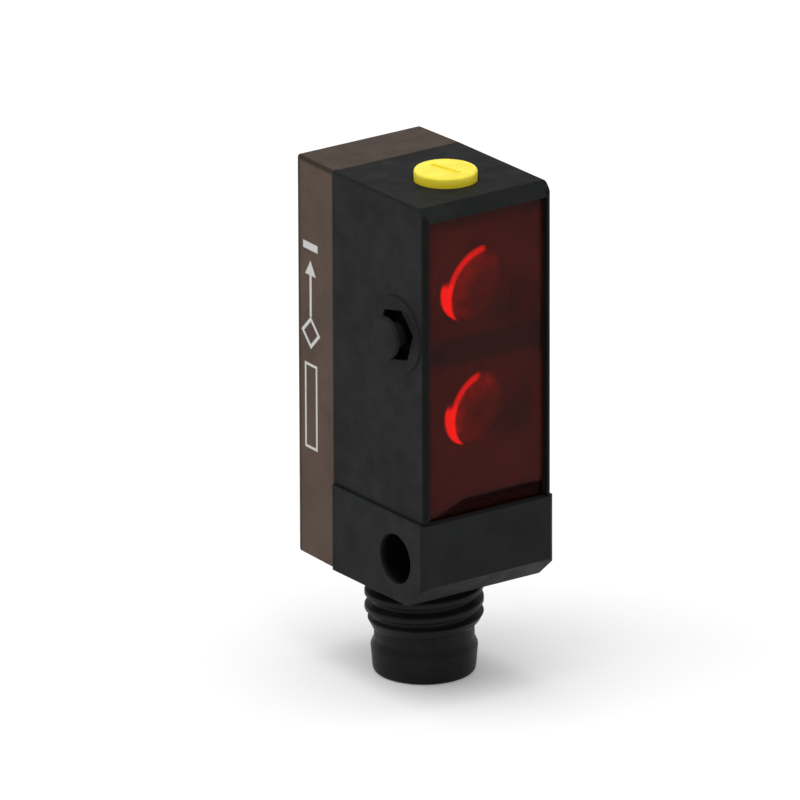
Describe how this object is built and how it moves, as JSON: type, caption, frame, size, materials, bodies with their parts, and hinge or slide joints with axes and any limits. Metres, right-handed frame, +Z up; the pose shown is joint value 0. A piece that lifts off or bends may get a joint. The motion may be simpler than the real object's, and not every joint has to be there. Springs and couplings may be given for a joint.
{
  "type": "photoelectric sensor",
  "caption": "Slim upright block sensor with a red front window over two stacked lenses, a slotted top adjuster, a cross hole, side studs and a round threaded plug below.",
  "frame": {"origin": "centre of the bounding box's bottom, which is the open end of the M8 plug that the sensor stands on", "axes": "+Z up from the plug through the housing to the adjuster; the red window faces -Y; +X to the right of someone who looks at the window"},
  "size_m": [0.012, 0.0144, 0.0347],
  "materials": {
    "black_housing": "fine matt moulded texture",
    "smoke_cover": "smooth smoke-brown translucent moulding, satin",
    "red_window": "polished red-tinted clear acrylic",
    "clear_lens": "polished moulded lens",
    "yellow_knob": "satin moulded yellow",
    "carrier_plastic": "matt moulded",
    "seal_rubber": "soft matt",
    "board_laminate": "solder-masked laminate",
    "chip_mould": "moulded package",
    "ceramic_parts": "sintered ceramic with tinned ends",
    "led_resin": "clear epoxy",
    "trimmer_body": "moulded",
    "trimmer_rotor": "moulded",
    "tinned_copper": "tinned",
    "gold_contact": "gold-plated turned brass",
    "insert_plastic": "glass-filled moulding"
  },
  "bodies": {
    "housing": {"main_housing": "black_housing", "base_block": "black_housing", "connector_barrel": "black_housing", "locating_studs": "black_housing", "rear_cover": "smoke_cover", "front_window": "red_window", "emitter_lens": "clear_lens", "receiver_lens": "clear_lens", "optics_carrier": "carrier_plastic", "cover_seal": "seal_rubber", "window_gasket": "seal_rubber", "knob_seal": "seal_rubber", "light_barrier": "seal_rubber", "main_circuit_board": "board_laminate", "output_circuit_board": "board_laminate", "sensor_chip": "chip_mould", "output_driver": "chip_mould", "receiver_diode": "chip_mould", "board_resistors": "ceramic_parts", "board_capacitors": "ceramic_parts", "emitter_led": "led_resin", "output_indicator_led": "led_resin", "power_indicator_led": "led_resin", "potentiometer_body": "trimmer_body", "potentiometer_leads": "tinned_copper", "board_link_pins": "tinned_copper", "contact_leads": "tinned_copper", "contact_pins": "gold_contact", "contact_insert": "insert_plastic"},
    "adjuster": {"adjuster_knob": "yellow_knob", "potentiometer_rotor": "trimmer_rotor"}
  },
  "joints": [
    {"name": "adjuster_turn", "type": "hinge", "parent": "housing", "child": "adjuster", "pos_m": [0, -0.00248, 0.034], "axis": [0, 0, 1], "range_deg": [-135, 135]}
  ]
}
